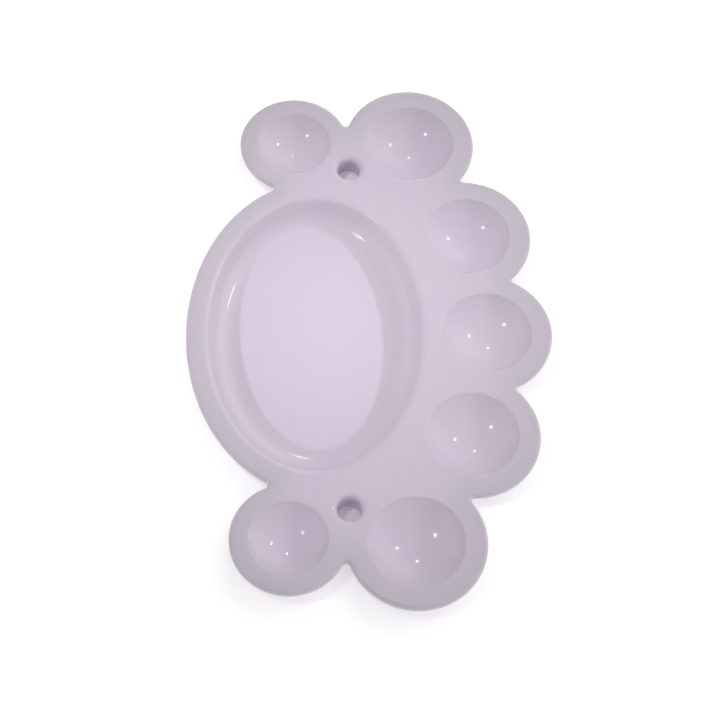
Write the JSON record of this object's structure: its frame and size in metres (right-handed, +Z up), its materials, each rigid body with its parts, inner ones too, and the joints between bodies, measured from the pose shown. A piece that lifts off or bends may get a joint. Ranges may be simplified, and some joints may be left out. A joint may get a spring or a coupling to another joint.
{
  "type": "mixing palette",
  "caption": "Moulded plastic paint mixing palette with a large oval mixing well, a fan of round bowl-shaped wells in a lobed outline, and hanging holes at each end.",
  "frame": {"origin": "middle of the palette's bounding box, on the plane it rests on", "axes": "+Z up out of the wells, +Y along the palette's length, +X from the oval mixing well towards the fan of round wells"},
  "size_m": [0.151, 0.2422, 0.01],
  "materials": {
    "white_plastic": "glossy moulded white plastic with a faint lavender cast"
  },
  "bodies": {
    "root": {"deck": "white_plastic", "rim_mixing_well": "white_plastic", "mixing_well_wall": "white_plastic", "mixing_well_floor": "white_plastic", "hanging_hole_upper": "white_plastic", "hanging_hole_lower": "white_plastic", "rim_side_middle": "white_plastic", "rim_corner_small_upper": "white_plastic", "rim_corner_small_lower": "white_plastic", "rim_corner_large_upper": "white_plastic", "rim_corner_large_lower": "white_plastic", "rim_side_upper": "white_plastic", "rim_side_lower": "white_plastic", "paint_well_side_middle": "white_plastic", "paint_well_corner_small_upper": "white_plastic", "paint_well_corner_small_lower": "white_plastic", "paint_well_corner_large_upper": "white_plastic", "paint_well_corner_large_lower": "white_plastic", "paint_well_side_upper": "white_plastic", "paint_well_side_lower": "white_plastic"}
  },
  "joints": []
}
